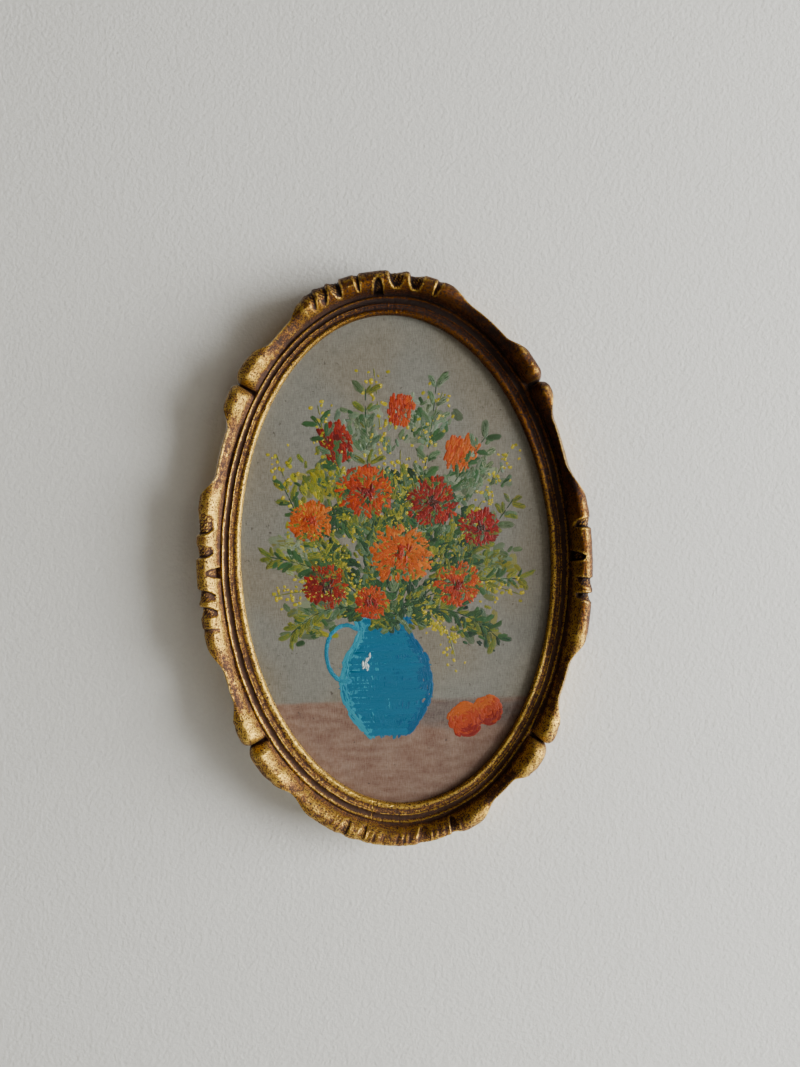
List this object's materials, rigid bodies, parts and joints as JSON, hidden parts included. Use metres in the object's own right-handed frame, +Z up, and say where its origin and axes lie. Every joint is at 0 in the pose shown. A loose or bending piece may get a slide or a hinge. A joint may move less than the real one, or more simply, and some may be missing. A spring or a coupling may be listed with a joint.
{
  "type": "framed oil painting",
  "caption": "Small oval floral oil painting on board in a carved and gilded wooden frame with crests, necks and notches, hung on a wall by a hole in its back.",
  "frame": {"origin": "middle of the mouth of the nail hole in the back of the top rail", "axes": "+Z up, +Y out of the back into the wall, so the picture faces -Y and +X is to its viewer's right"},
  "size_m": [0.1665, 0.018, 0.2407],
  "materials": {
    "giltwood": "worn water gilding over red clay, rubbed on the high edges and dark in the hollows",
    "oil_paint": "oil paint with raised strokes on board, soft sheen",
    "iron": "dull, darkened with age"
  },
  "bodies": {
    "root": {"carved_frame": "giltwood", "painted_panel": "oil_paint", "brad_1": "iron", "brad_2": "iron", "brad_3": "iron", "brad_4": "iron", "brad_5": "iron", "brad_6": "iron"}
  },
  "joints": []
}
